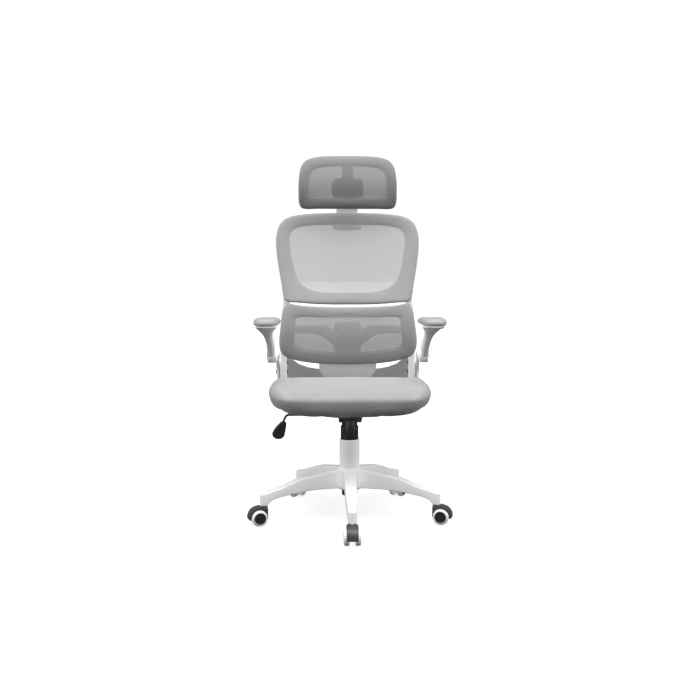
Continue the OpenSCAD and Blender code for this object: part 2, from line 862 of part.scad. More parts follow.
module headrest_bracket() {
    color(dark)
        difference() {
            union() {
                intersection() {
                    union() {
                        front_plate([
                            [-50, 1052], [50, 1052], [56, 1080], [50, 1112],
                            [20, 1118], [-20, 1118], [-50, 1112], [-56, 1080]
                        ], 200, 300);
                        front_plate([[-20, 1118], [-20, 1165], [20, 1165], [20, 1118]], 200, 300);
                        front_plate([[-20, 1052], [-20, 1030], [20, 1030], [20, 1052]], 200, 300);
                    }
                    head_shell(mesh_t + 12 + 2 * gap, mesh_t + 18);
                }
                translate([-25.5, head_y + mesh_t + 16, head_pin_z - 9])
                    cube([51, head_pin_y - head_y - mesh_t - 16, 18]);
                along_x(9, 25.5, head_pin_y, head_pin_z);
            }
            along_x(head_pin_r, 40, head_pin_y, head_pin_z);
        }
}

module headrest_frame() {
    color(dark)
        intersection() {
            difference() {
                front_plate(outline(head_half), 100, 300);
                front_plate(outline(head_window_half), 90, 310);
            }
            head_shell(mesh_t + gap, mesh_t + gap + 12);
        }
}

module headrest_mesh() {
    color(mesh_grey)
        intersection() {
            front_plate(outline(head_half), 100, 300);
            head_shell(0, mesh_t);
        }
}

base_star();
gas_outer_tube();
gas_guide_bush();
thrust_bearing();
cover_lower();
caster_stems();
gas_piston_rod();
gas_retaining_clip();
cover_middle();
gas_cylinder();
tilt_housing();
cover_upper();
tilt_pivot_pin();
tension_spring();
gas_release_button();
tilt_lock_slider();
lever_rod();
lever_paddle();
seat_plate();
seat_board();
seat_cushion();
seat_bolts();
back_bracket();
back_bolts();
back_frame();
upper_mesh();
lumbar_frame();
lumbar_mesh();
lumbar_bracket();
arm_bracket_left();
arm_bracket_right();
headrest_socket();
tension_knob();
arm_left();
arm_right();
arm_pad_left();
arm_pad_right();
arm_pivot_left();
arm_pivot_right();
headrest_stem();
headrest_bracket();
headrest_pin();
headrest_frame();
headrest_mesh();
for (k = [0 : 4])
    rotate([0, 0, 72 * k]) {
        caster_hood();
        caster_wheel(-1);
        caster_wheel(1);
    }
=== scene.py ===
"""Looks of the swivel chair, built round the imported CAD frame. Metres, +Z up, the chair faces -Y."""
import math

import bmesh
import bpy
import numpy as np
from mathutils import Matrix, Vector


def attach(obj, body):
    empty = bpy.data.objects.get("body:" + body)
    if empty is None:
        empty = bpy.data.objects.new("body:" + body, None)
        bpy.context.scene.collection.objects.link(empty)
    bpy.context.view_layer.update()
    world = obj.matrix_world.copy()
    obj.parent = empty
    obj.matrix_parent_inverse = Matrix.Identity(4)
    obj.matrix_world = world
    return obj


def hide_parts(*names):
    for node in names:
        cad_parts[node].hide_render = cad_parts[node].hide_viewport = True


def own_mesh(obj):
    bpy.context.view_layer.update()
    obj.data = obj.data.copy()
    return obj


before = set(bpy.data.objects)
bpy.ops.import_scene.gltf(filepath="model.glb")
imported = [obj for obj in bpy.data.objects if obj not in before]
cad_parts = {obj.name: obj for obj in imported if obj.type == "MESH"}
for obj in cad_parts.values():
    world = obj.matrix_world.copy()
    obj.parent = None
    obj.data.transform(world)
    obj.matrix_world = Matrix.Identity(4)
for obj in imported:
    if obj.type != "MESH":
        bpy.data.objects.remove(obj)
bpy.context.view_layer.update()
MM = 0.001
TAU = 2 * math.pi

# ---------------------------------------------------------------- shared numbers of the design
BACK_LEAN = math.radians(15)
BACK_Y, BACK_REF_Z, BACK_WRAP = 0.225, 0.700, 1.015
ARM_SPLAY = math.radians(10)
ARM_PIVOT = (0.243, 0.190, 0.510)
STEM_AT, CASTER_TRAIL, WHEEL_R = 0.2886, 0.0176, 0.025
LEGS = 5
# Middle of the cushion's plan, and half its width and depth
SEAT_CENTRE, SEAT_REACH = (0, -0.031), (0.264, 0.231)
# Foot of the posts and of the fairing between them, hidden behind the cushion, in mm
FRAME_FOOT_Z = 411
# Axis of the tension knob in plan
KNOB_AT = (0, -0.100)

# Half outlines in mm, from the top middle to the bottom middle, as (x, z)
UPPER_HALF = [
    (0, 1004), (70, 1003), (140, 999), (200, 989), (233, 966), (247, 928), (248, 882), (241, 823),
    (231, 765), (224, 718), (212, 695), (170, 690), (110, 685), (55, 683), (0, 683),
]
UPPER_WINDOW = [
    (0, 961), (70, 960), (135, 957.5), (182, 946), (201, 916), (197, 870), (188, 820), (172, 770),
    (140, 741), (96, 727), (48, 725), (0, 725),
]
LUMBAR_HALF = [
    (0, 676), (60, 676.5), (120, 679), (170, 683), (206, 688), (221, 668), (230, 617), (236, 565),
    (233, 530), (214, 505), (168, 490), (110, 481), (55, 477), (0, 476),
]
LUMBAR_WINDOW = [
    (0, 640), (80, 641), (150, 644), (176, 636), (181, 600), (184, 565), (176, 541), (140, 531),
    (75, 525), (0, 523),
]
HEAD_HALF = [
    (0, 1195), (55, 1194), (103, 1191), (141, 1179), (160, 1154), (167, 1115), (169, 1068),
    (167, 1030), (152, 1013.5), (100, 1013), (50, 1013), (0, 1013),
]
HEAD_WINDOW = [
    (0, 1156), (55, 1155), (100, 1151), (123, 1136), (132, 1108), (132, 1075), (122, 1055),
    (80, 1050), (40, 1050), (0, 1050),
]
# Half plan of the cushion, from the front middle to the rear middle, as (x, y)
CUSHION_HALF = [
    (0, -262), (90, -260), (170, -250), (222, -217), (248, -157), (262, -72), (264, 23),
    (258, 100), (240, 155), (208, 188), (120, 199), (60, 200), (0, 200),
]


# ---------------------------------------------------------------- node materials
def link_in(nt, socket, value):
    if isinstance(value, bpy.types.NodeSocket):
        nt.links.new(value, socket)
    else:
        socket.default_value = value


class Shader:
    """A material and the few kinds of node that this scene uses."""

    def __init__(self, name):
        self.mat = bpy.data.materials.new(name)
        self.mat.use_nodes = True
        self.nt = self.mat.node_tree
        self.bsdf = self.nt.nodes["Principled BSDF"]
        self.out = self.nt.nodes["Material Output"]
        self.coord = self.nt.nodes.new("ShaderNodeTexCoord").outputs["Object"]

    def node(self, kind, **props):
        n = self.nt.nodes.new("ShaderNode" + kind)
        for k, v in props.items():
            setattr(n, k, v)
        return n

    def math(self, op, a, b=0.0, clamp=False):
        n = self.node("Math", operation=op, use_clamp=clamp)
        link_in(self.nt, n.inputs[0], a)
        link_in(self.nt, n.inputs[1], b)
        return n.outputs[0]

    def noise(self, scale, detail=3.0, rough=0.55, stretch=None):
        n = self.node("TexNoise")
        coord = self.coord
        if stretch:
            m = self.node("Mapping")
            self.nt.links.new(coord, m.inputs["Vector"])
            m.inputs["Scale"].default_value = stretch
            coord = m.outputs["Vector"]
        self.nt.links.new(coord, n.inputs["Vector"])
        n.inputs["Scale"].default_value = scale
        n.inputs["Detail"].default_value = detail
        n.inputs["Roughness"].default_value = rough
        return n.outputs["Fac"]

    def remap(self, value, lo, hi, to_lo, to_hi):
        n = self.node("MapRange")
        link_in(self.nt, n.inputs["Value"], value)
        for key, v in zip(("From Min", "From Max", "To Min", "To Max"), (lo, hi, to_lo, to_hi)):
            n.inputs[key].default_value = v
        return n.outputs["Result"]

    def mix(self, fac, a, b):
        n = self.node("Mix", data_type="RGBA")
        link_in(self.nt, n.inputs[0], fac)
        for socket, c in ((n.inputs[6], a), (n.inputs[7], b)):
            link_in(self.nt, socket, c if isinstance(c, bpy.types.NodeSocket) else (*c, 1.0))
        return n.outputs[2]

    def xyz(self):
        n = self.node("SeparateXYZ")
        self.nt.links.new(self.coord, n.inputs[0])
        return n.outputs

    def wave(self, axis_value, pitch, phase=0.0):
        turned = self.math("MULTIPLY_ADD", axis_value, TAU / pitch)
        turned.node.inputs[2].default_value = phase
        return self.math("SINE", turned)

    def bump(self, height, distance, strength):
        n = self.node("Bump")
        link_in(self.nt, n.inputs["Height"], height)
        n.inputs["Distance"].default_value = distance
        n.inputs["Strength"].default_value = strength
        return n.outputs["Normal"]

    def pointiness(self, lo, hi):
        return self.remap(self.node("NewGeometry").outputs["Pointiness"], lo, hi, 0.0, 1.0)

    def set(self, **values):
        for k, v in values.items():
            link_in(self.nt, self.bsdf.inputs[k.replace("_", " ")], v)
        return self.mat


def scaled(colour, k):
    return tuple(c * k for c in colour)


def plastic(name, colour, rough, grain_scale, grain_depth, edge_wear_and_highlight=0.0, tone=0.04):
    """Moulded plastic: slow colour drift, fine spark-eroded grain, and convex edges moved towards mid grey,
    partly as wear and partly as a painted highlight.
    """
    s = Shader(name)
    drift = s.noise(6.0, 2.0)
    base = s.mix(s.remap(drift, 0.3, 0.7, 0, 1), scaled(colour, 1 - tone), scaled(colour, 1 + tone / 2))
    # Convex edges pulled towards mid grey: wear on the white parts, and on the black parts also a painted
    # highlight.
    if edge_wear_and_highlight:
        edge_wear_and_highlight_mask = s.math("MULTIPLY", s.pointiness(0.52, 0.6), s.remap(s.noise(90, 4), 0.42, 0.62, 0.0, edge_wear_and_highlight))
        worn_and_highlit_colour = tuple(c + (0.45 - c) * 0.35 for c in colour)
        base = s.mix(edge_wear_and_highlight_mask, base, worn_and_highlit_colour)
    grain = s.noise(grain_scale, 2.0, 0.6)
    fine = s.remap(s.noise(40, 3), 0.3, 0.7, rough - 0.05, rough + 0.06)
    return s.set(Base_Color=base, Roughness=fine, Normal=s.bump(grain, grain_depth, 0.6))


def metal(name, colour, rough, stretch=None, scale=220):
    """Plated or brushed metal with a soft directional grain."""
    s = Shader(name)
    grain = s.noise(scale, 3.0, 0.6, stretch)
    dull = s.noise(18, 3)
    base = s.mix(s.remap(dull, 0.35, 0.7, 0, 1), scaled(colour, 0.86), colour)
    return s.set(
        Base_Color=base, Metallic=1.0, Roughness=s.remap(grain, 0.3, 0.7, rough - 0.06, rough + 0.1),
        Normal=s.bump(grain, 0.00006, 0.5),
    )


def powder_coat(name, colour):
    s = Shader(name)
    peel = s.noise(700, 2.0)
    drift = s.noise(9, 2.0)
    base = s.mix(s.remap(drift, 0.3, 0.7, 0, 1), scaled(colour, 0.85), scaled(colour, 1.2))
    rough = s.remap(peel, 0.3, 0.7, 0.38, 0.5)
    return s.set(Base_Color=base, Roughness=rough, Normal=s.bump(peel, 0.0001, 0.5))


def cloth_sheen(s, weight, rough):
    s.bsdf.inputs["Sheen Weight"].default_value = weight
    s.bsdf.inputs["Sheen Roughness"].default_value = rough
    s.bsdf.inputs["Specular IOR Level"].default_value = 0.25


def spacer_knit(name, colour, pitch, depth):
    """Cushion cover: a raised cellular knit, the same on every face, with painted shade that darkens it
    towards the front.
    """
    s = Shader(name)
    waves = [s.wave(v, pitch) for v in s.xyz()]
    pairs = [s.math("MULTIPLY", waves[i], waves[(i + 1) % 3]) for i in range(3)]
    cell = s.math("ADD", s.math("ADD", pairs[0], pairs[1]), pairs[2])
    yarn = s.noise(1500, 3.0, 0.7)
    height = s.math("ADD", s.remap(cell, -1.0, 1.2, 0.0, 1.0), s.math("MULTIPLY", yarn, 0.35))
    # Darker in the valleys of the knit's cells: painted shade.
    painted_valley_shade = s.remap(cell, -0.9, 0.7, 1.0, 0.0)
    drift = s.remap(s.noise(7, 3.0), 0.3, 0.7, 0.0, 1.0)
    # Darker towards the front of the cushion: painted shade.
    painted_front_shade = s.remap(s.xyz()[1], -0.25, 0.16, 0.0, 1.0)
    base = s.mix(painted_front_shade, scaled(colour, 0.88), scaled(colour, 1.10))
    base = s.mix(s.math("MULTIPLY", drift, 0.08), base, scaled(colour, 0.6))
    base = s.mix(s.math("MULTIPLY", painted_valley_shade, 0.55), base, scaled(colour, 0.55))
    base = s.mix(s.remap(yarn, 0.35, 0.75, 0.0, 0.22), base, scaled(colour, 1.3))
    cloth_sheen(s, 0.25, 0.55)
    return s.set(Base_Color=base, Roughness=0.85, Normal=s.bump(height, depth, 0.8))


def elastic_mesh(name, colour, open_at):
    """Stretched back mesh: a net of rounded holes between knitted ribs, open enough to see through."""
    s = Shader(name)
    x, _, z = s.xyz()
    across, up = s.wave(x, 0.0034), s.wave(z, 0.0046)
    cell = s.math("MULTIPLY", across, up)
    rib = s.wave(x, 0.0017)
    solid = s.remap(cell, open_at, open_at + 0.12, 1.0, 0.0)
    yarn = s.noise(1300, 3.0, 0.7)
    drift = s.remap(s.noise(5, 2.0), 0.3, 0.7, 0.0, 1.0)
    base = s.mix(drift, scaled(colour, 0.96), scaled(colour, 1.04))
    base = s.mix(s.remap(rib, -1, 1, 0.0, 0.18), base, scaled(colour, 0.6))
    base = s.mix(s.remap(yarn, 0.35, 0.75, 0.0, 0.2), base, scaled(colour, 1.3))
    height = s.math("ADD", s.remap(cell, -1, 1, 1.0, 0.0), s.math("MULTIPLY", yarn, 0.3))
    cloth_sheen(s, 0.2, 0.5)
    return s.set(Base_Color=base, Roughness=0.8, Alpha=solid, Normal=s.bump(height, 0.0005, 0.7))


def padding(name, colour):
    """Thin foam and backing cloth over the carrier rings, under the mesh."""
    s = Shader(name)
    cell = s.noise(900, 3.0, 0.7)
    base = s.mix(s.remap(cell, 0.35, 0.7, 0, 1), scaled(colour, 0.85), scaled(colour, 1.1))
    return s.set(Base_Color=base, Roughness=0.9, Normal=s.bump(cell, 0.0003, 0.6))


def soft_touch(name, colour):
    """Self-skinned polyurethane with a fine hide grain and roughness that varies at random."""
    s = Shader(name)
    v = s.node("TexVoronoi", feature="DISTANCE_TO_EDGE")
    s.nt.links.new(s.coord, v.inputs["Vector"])
    v.inputs["Scale"].default_value = 650
    crease = s.remap(v.outputs["Distance"], 0.0, 0.12, 0.0, 1.0)
    drift = s.remap(s.noise(14, 3), 0.35, 0.7, 0.0, 1.0)
    base = s.mix(drift, scaled(colour, 0.94), scaled(colour, 1.05))
    # Darker along the creases of the grain: painted shade.
    base = s.mix(s.remap(crease, 0, 1, 0.25, 0.0), base, scaled(colour, 0.7))
    rough = s.remap(s.noise(22, 2), 0.35, 0.65, 0.48, 0.66)
    return s.set(Base_Color=base, Roughness=rough, Normal=s.bump(crease, 0.00012, 0.5))


def birch_ply(name):
    s = Shader(name)
    figure = s.noise(30, 5, 0.6, (0.25, 3.0, 3.0))
    z = s.xyz()[2]
    ply = s.wave(z, 0.0030)
    base = s.mix(s.remap(figure, 0.3, 0.7, 0, 1), (0.50, 0.34, 0.19), (0.68, 0.51, 0.32))
    base = s.mix(s.remap(ply, 0.2, 1.0, 0.0, 0.4), base, (0.30, 0.19, 0.10))
    return s.set(Base_Color=base, Roughness=0.65, Normal=s.bump(figure, 0.0002, 0.5))


WHITE_BASE = plastic("white_nylon", (0.86, 0.86, 0.875), 0.38, 1600, 0.00006, edge_wear_and_highlight=0.5)
WHITE_FRAME = plastic("white_frame_plastic", (0.83, 0.83, 0.845), 0.40, 1400, 0.00007, edge_wear_and_highlight=0.25)
# Frame plastic darkened to dark grey: painted shade under the lumbar pad and behind the seat, for the lower
# fairing.
FAIRING_PAINTED_SHADE = plastic("fairing_plastic_painted_shade", (0.29, 0.29, 0.30), 0.45, 1400, 0.00007)
# Frame plastic darkened to mid grey: painted shade behind the seat, for the back bracket and its lip.
BRACKET_PAINTED_SHADE = plastic("bracket_plastic_painted_shade", (0.50, 0.50, 0.51), 0.42, 1400, 0.00007)
HOOD_BLACK = plastic("caster_hood_plastic", (0.050, 0.050, 0.052), 0.34, 1300, 0.00006, edge_wear_and_highlight=0.3, tone=0.15)
BLACK = plastic("black_plastic", (0.020, 0.020, 0.022), 0.42, 1500, 0.0001, edge_wear_and_highlight=0.3, tone=0.15)
BLACK_SATIN = plastic("black_cover_plastic", (0.016, 0.016, 0.018), 0.30, 1100, 0.00005, tone=0.12)
CAP_BLACK = plastic("black_cap_plastic", (0.022, 0.022, 0.025), 0.26, 1300, 0.00004, tone=0.12)
COAT = powder_coat("black_powder_coat", (0.018, 0.018, 0.019))
ZINC = metal("zinc_plated_steel", (0.50, 0.51, 0.53), 0.30)
POLISHED = metal("polished_rod_steel", (0.58, 0.59, 0.60), 0.18, (1, 1, 8), 120)
SPRING = metal("oiled_spring_steel", (0.22, 0.22, 0.23), 0.34)
PLY = birch_ply("birch_plywood")
SEAT_CLOTH = spacer_knit("seat_spacer_knit", (0.40, 0.40, 0.405), 0.0030, 0.00045)
MESH_CLOTH = elastic_mesh("back_elastic_mesh", (0.40, 0.395, 0.395), 0.38)
LUMBAR_CLOTH = elastic_mesh("lumbar_elastic_mesh", (0.29, 0.285, 0.285), 0.66)
PADDING = padding("grey_backing_foam", (0.44, 0.44, 0.445))
SOFT_PAD = soft_touch("grey_soft_touch", (0.40, 0.40, 0.405))
TYRE = plastic("white_polyurethane", (0.78, 0.78, 0.79), 0.45, 1200, 0.00006, edge_wear_and_highlight=0.5)


# ---------------------------------------------------------------- mesh helpers
def piece(name, verts, faces, material, body, slot, nodes=(), sharp=38.0):
    """A new mesh object that rides on a body and stands for CAD nodes."""
    me = bpy.data.meshes.new(name)
    me.from_pydata([tuple(map(float, v)) for v in verts], [], faces)
    bm = bmesh.new()
    bm.from_mesh(me)
    bmesh.ops.remove_doubles(bm, verts=bm.verts, dist=1e-6)
    bmesh.ops.recalc_face_normals(bm, faces=bm.faces)
    bm.to_mesh(me)
    bm.free()
    o = bpy.data.objects.new(name, me)
    all_smooth(o)
    me.set_sharp_from_angle(angle=math.radians(sharp))
    me.materials.append(material)
    bpy.context.scene.collection.objects.link(o)
    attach(o, body)
    if nodes:
        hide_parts(*nodes)
    return o


def bevelled(o, width):
    b = o.modifiers.new("edges", "BEVEL")
    b.width = width
    b.segments = 3
    b.limit_method = "ANGLE"
    b.angle_limit = math.radians(42)
    b.harden_normals = True


def subdivided(o):
    m = o.modifiers.new("smooth", "SUBSURF")
    m.levels = m.render_levels = 1
    return o


def all_smooth(o):
    o.data.polygons.foreach_set("use_smooth", [True] * len(o.data.polygons))


def in_metres(points):
    return [tuple(c * MM for c in p) for p in points]


class Soup:
    """Collects several closed shells into one mesh."""

    def __init__(self):
        self.verts, self.faces = [], []

    def add(self, verts, faces, matrix=None):
        start = len(self.verts)
        for v in verts:
            self.verts.append(tuple(matrix @ Vector(v)) if matrix is not None else tuple(v))
        self.faces += [tuple(start + i for i in f) for f in faces]
        return self


def rings_to_mesh(rings, cap=True, close=False):
    """Quads between loops of one length. cap fills the first and the last loop, close joins them."""
    n = len(rings[0])
    verts = [tuple(p) for r in rings for p in r]
    faces = []
    last = len(rings) if close else len(rings) - 1
    for i in range(last):
        a, b = i * n, ((i + 1) % len(rings)) * n
        faces += [(a + k, a + (k + 1) % n, b + (k + 1) % n, b + k) for k in range(n)]
    if cap and not close:
        faces += [tuple(range(n - 1, -1, -1)), tuple(range(len(verts) - n, len(verts)))]
    return verts, faces


def lathe(profile, steps=96, closed=False):
    """Turns (radius, z) points about Z. A radius of 0 at an end closes it."""
    rings = []
    for r, z in profile:
        rings.append([
            (max(r, 1e-7) * math.cos(TAU * k / steps), max(r, 1e-7) * math.sin(TAU * k / steps), z)
            for k in range(steps)
        ])
    return rings_to_mesh(rings, cap=not closed, close=closed)


def rounded_profile(corners, radius, steps=4):
    """A closed (a, b) outline with each corner rounded. A corner may carry its own radius."""
    out = []
    n = len(corners)
    for i in range(n):
        p0, p, p1 = (np.array(corners[(i + d) % n][:2], float) for d in (-1, 0, 1))
        r = corners[i][2] if len(corners[i]) > 2 else radius
        u, v = p0 - p, p1 - p
        lu, lv = np.linalg.norm(u), np.linalg.norm(v)
        u, v = u / lu, v / lv
        half = math.acos(max(-1.0, min(1.0, float(u @ v)))) / 2
        cut = min(r / max(math.tan(half), 1e-3), 0.48 * lu, 0.48 * lv)
        if cut < 1e-6:
            out.append(tuple(p))
            continue
        a, b = p + u * cut, p + v * cut
        for k in range(steps + 1):
            t = k / steps
            out.append(tuple((1 - t) ** 2 * a + 2 * t * (1 - t) * p + t * t * b))
    return out


def rounded_box_section(half_w, half_h, r, steps=4):
    r = min(r, 0.95 * half_w, 0.95 * half_h)
    pts = []
    for cx, cz, a0 in ((1, 1, 0), (-1, 1, 90), (-1, -1, 180), (1, -1, 270)):
        for k in range(steps + 1):
            a = math.radians(a0 + 90 * k / steps)
            pts.append((cx * (half_w - r) + r * math.cos(a), cz * (half_h - r) + r * math.sin(a)))
    return pts


def superellipse(half_a, half_b, power, count=40):
    out = []
    for k in range(count):
        a = TAU * (k + 0.5) / count
        c, s = (math.copysign(abs(v) ** (2 / power), v) for v in (math.cos(a), math.sin(a)))
        out.append((half_a * c, half_b * s))
    return out


def inset_loop(loop, inset):
    """Moves each point of a closed loop inward along its normal."""
    ahead, behind = np.roll(loop, -1, 0), np.roll(loop, 1, 0)
    tangent = ahead - behind
    tangent /= np.maximum(np.linalg.norm(tangent, axis=1), 1e-9)[:, None]
    normal = np.stack([-tangent[:, 1], tangent[:, 0]], 1)
    area = np.sum(loop[:, 0] * ahead[:, 1] - ahead[:, 0] * loop[:, 1])
    return loop + normal * inset * (1 if area > 0 else -1)


def plate(corners, y0, y1, edge, radius=6):
    """A flat moulding from y0 to y1 with softened rims, from (x, z) corners, all in mm."""
    outline = np.array(rounded_profile(corners, radius, 5))
    rings = []
    for inset, y in ((edge, y0), (edge * 0.3, y0 + edge * 0.3), (0, y0 + edge), (0, y1 - edge),
                     (edge * 0.3, y1 - edge * 0.3), (edge, y1)):
        shrunk = inset_loop(outline, inset)
        rings.append([(x * MM, y * MM, z * MM) for x, z in shrunk])
    return rings_to_mesh(rings)


def tube(path, radius, steps=20):
    """A round bar along points in a plane that faces Y."""
    across = Vector((0, 1, 0))
    rings = []
    for i, p in enumerate(path):
        a, b = path[max(i - 1, 0)], path[min(i + 1, len(path) - 1)]
        n = (b - a).normalized().cross(across)
        rings.append([p + radius * (math.cos(t) * across + math.sin(t) * n)
                      for t in (TAU * k / steps for k in range(steps))])
    return rings_to_mesh([[tuple(v) for v in r] for r in rings])


def spline(half, n=6):
    """Smooth closed curve through a half outline and its mirror image, in metres."""
    p = np.array(list(half) + [(-x, z) for x, z in half[-2:0:-1]], float) * MM
    out = []
    for i in range(len(p)):
        a, b, c, d = (p[(i + k) % len(p)] for k in (-1, 0, 1, 2))
        for k in range(n):
            t = k / n
            out.append(0.5 * (2 * b + (c - a) * t + (2 * a - 5 * b + 4 * c - d) * t * t
                              + (3 * b - a - 3 * c + d) * t ** 3))
    return np.array(out)


def along_rays(curve, centre, reach, count):
    """Where evenly turned rays from the centre meet a closed curve. reach stretches the rays' spacing."""
    centre = np.array(centre)
    angles = TAU * (np.arange(count) + 0.5) / count
    rays = np.stack([np.cos(angles) * reach[0], np.sin(angles) * reach[1]], 1)
    p, q = curve - centre, np.roll(curve, -1, 0) - centre
    e = q - p
    out = []
    for d in rays:
        den = d[0] * e[:, 1] - d[1] * e[:, 0]
        den = np.where(np.abs(den) < 1e-12, 1e-12, den)
        t = (p[:, 0] * e[:, 1] - p[:, 1] * e[:, 0]) / den
        s = (p[:, 0] * d[1] - p[:, 1] * d[0]) / den
        hit = (t > 0) & (s >= -1e-6) & (s <= 1 + 1e-6)
        out.append(centre + d * t[hit].max())
    return np.array(out)


def ease(t):
    """Goes smoothly from 0 to 1 while t does."""
    t = min(1.0, max(0.0, t))
    return t * t * (3 - 2 * t)


def apply_modifiers(o):
    dg = bpy.context.evaluated_depsgraph_get()
    dg.update()
    done = bpy.data.meshes.new_from_object(o.evaluated_get(dg), depsgraph=dg)
    o.modifiers.clear()
    old = o.data
    o.data = done
    bpy.data.meshes.remove(old)


def points_of(o):
    co = np.zeros(len(o.data.vertices) * 3)
    o.data.vertices.foreach_get("co", co)
    return co.reshape(-1, 3)


def set_points(o, co):
    o.data.vertices.foreach_set("co", co.astype(np.float32).ravel())
    o.data.update()


def inflate(o, voxel, pressure, cap):
    """Turns a mesh into even cells, lets cloth pressure swell it, and keeps every point within the cap."""
    remesh = o.modifiers.new("cells", "REMESH")
    remesh.mode = "VOXEL"
    remesh.voxel_size = voxel
    apply_modifiers(o)
    start = points_of(o)
    cloth = o.modifiers.new("cloth", "CLOTH")
    cloth.settings.use_pressure = True
    cloth.settings.uniform_pressure_force = pressure
    cloth.settings.effector_weights.gravity = 0.0
    cloth.settings.tension_stiffness = 18
    cloth.settings.compression_stiffness = 18
    cloth.settings.bending_stiffness = 6
    cloth.settings.mass = 0.3
    cloth.point_cache.frame_end = 20
    scene = bpy.context.scene
    for f in range(1, 21):
        scene.frame_set(f)
    apply_modifiers(o)
    scene.frame_set(1)
    moved = points_of(o) - start
    length = np.linalg.norm(moved, axis=1)
    keep = np.minimum(1.0, cap / np.maximum(length, 1e-9))
    start = start + moved * keep[:, None]
    return start


# ---------------------------------------------------------------- surfaces of the three panels
def upper_surface(x, z, depth):
    sag = BACK_WRAP - math.sqrt(BACK_WRAP ** 2 - x * x)
    y = BACK_Y + (z - BACK_REF_Z) * math.tan(BACK_LEAN) + (depth - sag) / math.cos(BACK_LEAN)
    return (x, y, z)


def bulge(radius, front_y, mid_z):
    def surface(x, z, depth):
        r = radius - depth
        return (x, front_y + radius - math.sqrt(r * r - (z - mid_z) ** 2), z)
    return surface


lumbar_surface = bulge(0.200, 0.160, 0.585)
head_surface = bulge(0.170, 0.215, 1.095)


class Panel:
    """A band round a see-through window, on one of the curved surfaces."""

    def __init__(self, half, window, centre, surface, face, count=288):
        self.surface, self.face, self.centre = surface, face, np.array(centre)
        curve = spline(half)
        reach = (curve[:, 0].max(), (curve[:, 1].max() - curve[:, 1].min()) / 2)
        self.edge = along_rays(curve, centre, reach, count)
        self.window = along_rays(spline(window), centre, reach, count)
        self.width = np.linalg.norm(self.edge - self.window, axis=1)

    def ring(self, inset, depth, from_window=False):
        """The loop at a distance in from the edge or out from the window, at a depth behind the face."""
        share = np.clip(inset / self.width, -1, 1)[:, None]
        if from_window:
            share = 1 - share
        p = self.edge + (self.window - self.edge) * share
        return [self.surface(x, z, self.face + depth) for x, z in p]

    def inner(self, share, depth):
        p = self.window + (self.centre - self.window) * share
        return [self.surface(x, z, self.face + depth) for x, z in p]

    def sheet(self, name, profile, sag, material, body, nodes):
        """The knit itself: rolled round the rim, soft over the band and taut across the window."""
        rings = [self.ring(e * MM, d * MM) for e, d in profile if e >= 0]
        rings += [self.ring(-e * MM, d * MM, from_window=True) for e, d in profile if e < 0]
        last = profile[-1][1] * MM
        for f in (0.04, 0.09, 0.16, 0.25, 0.36, 0.48, 0.6, 0.72, 0.83, 0.92, 0.985):
            rings.append(self.inner(f, last + sag * MM * math.sin(min(1.0, f * 3) * math.pi / 2)))
        verts, faces = rings_to_mesh(rings, cap=False)
        n = len(rings[0])
        faces.append(tuple(range(len(verts) - n, len(verts))))
        o = piece(name, verts, faces, material, body, "mesh_fabric", nodes, sharp=180)
        return o

    def carrier(self, profile):
        """A closed ring behind the knit. Insets under 0 are measured out from the window."""
        rings = [self.ring(abs(e) * MM, d * MM, from_window=e < 0) for e, d in profile]
        return rings_to_mesh(rings, close=True)


# (inset, depth) in mm: turned-under hem, rolled rim, padded crest, and the fall to the window
KNIT_ROLL = [
    (3.2, 9.2), (1.4, 8.8), (0.3, 7.4), (0.0, 5.6), (0.4, 3.4), (1.5, 1.2), (3.4, -0.7), (6.2, -2.2),
    (10, -3.1), (15, -3.5), (20, -3.4), (-14, -2.4), (-9, -1.2), (-5, -0.3), (-2, 0.2), (-0.01, 0.5),
]
CARRIER = [
    (2.0, 8.4), (1.6, 6.0), (2.4, 3.4), (5.0, 1.2), (9.0, -0.6), (16, -1.6), (-13, -0.6), (-7, 1.0),
    (-2.5, 1.6), (-0.9, 2.8), (-0.9, 7.2), (-2.4, 8.4),
]


# ---------------------------------------------------------------- knit, padding and rear rings
upper = Panel(UPPER_HALF, UPPER_WINDOW, (0, 0.845), upper_surface, 0.0)
lumbar = Panel(LUMBAR_HALF, LUMBAR_WINDOW, (0, 0.583), lumbar_surface, 0.003)
head = Panel(HEAD_HALF, HEAD_WINDOW, (0, 1.100), head_surface, 0.003)

upper.sheet("upper_back_knit", KNIT_ROLL, 1.5, MESH_CLOTH, "seat", ["upper_mesh"])
lumbar.sheet("lumbar_knit", KNIT_ROLL, 1.5, LUMBAR_CLOTH, "seat", ["lumbar_mesh"])
head.sheet("headrest_knit", KNIT_ROLL, 1.2, LUMBAR_CLOTH, "headrest", ["headrest_mesh"])

piece("upper_back_padding", *upper.carrier(CARRIER), PADDING, "seat", "mesh_fabric")
REAR_RING = [
    (2.4, 8.7), (-2.2, 8.7), (-0.8, 10.0), (-0.8, 13.4), (-2.4, 15.2), (5.0, 15.2), (2.2, 13.6),
    (1.6, 11.0),
]
for panel, body, name in ((lumbar, "seat", "lumbar"), (head, "headrest", "headrest")):
    piece(name + "_padding", *panel.carrier(CARRIER), PADDING, body, "mesh_fabric")
    piece(name + "_rear_ring", *panel.carrier(REAR_RING), BLACK, body, "black_plastic", [name + "_frame"])


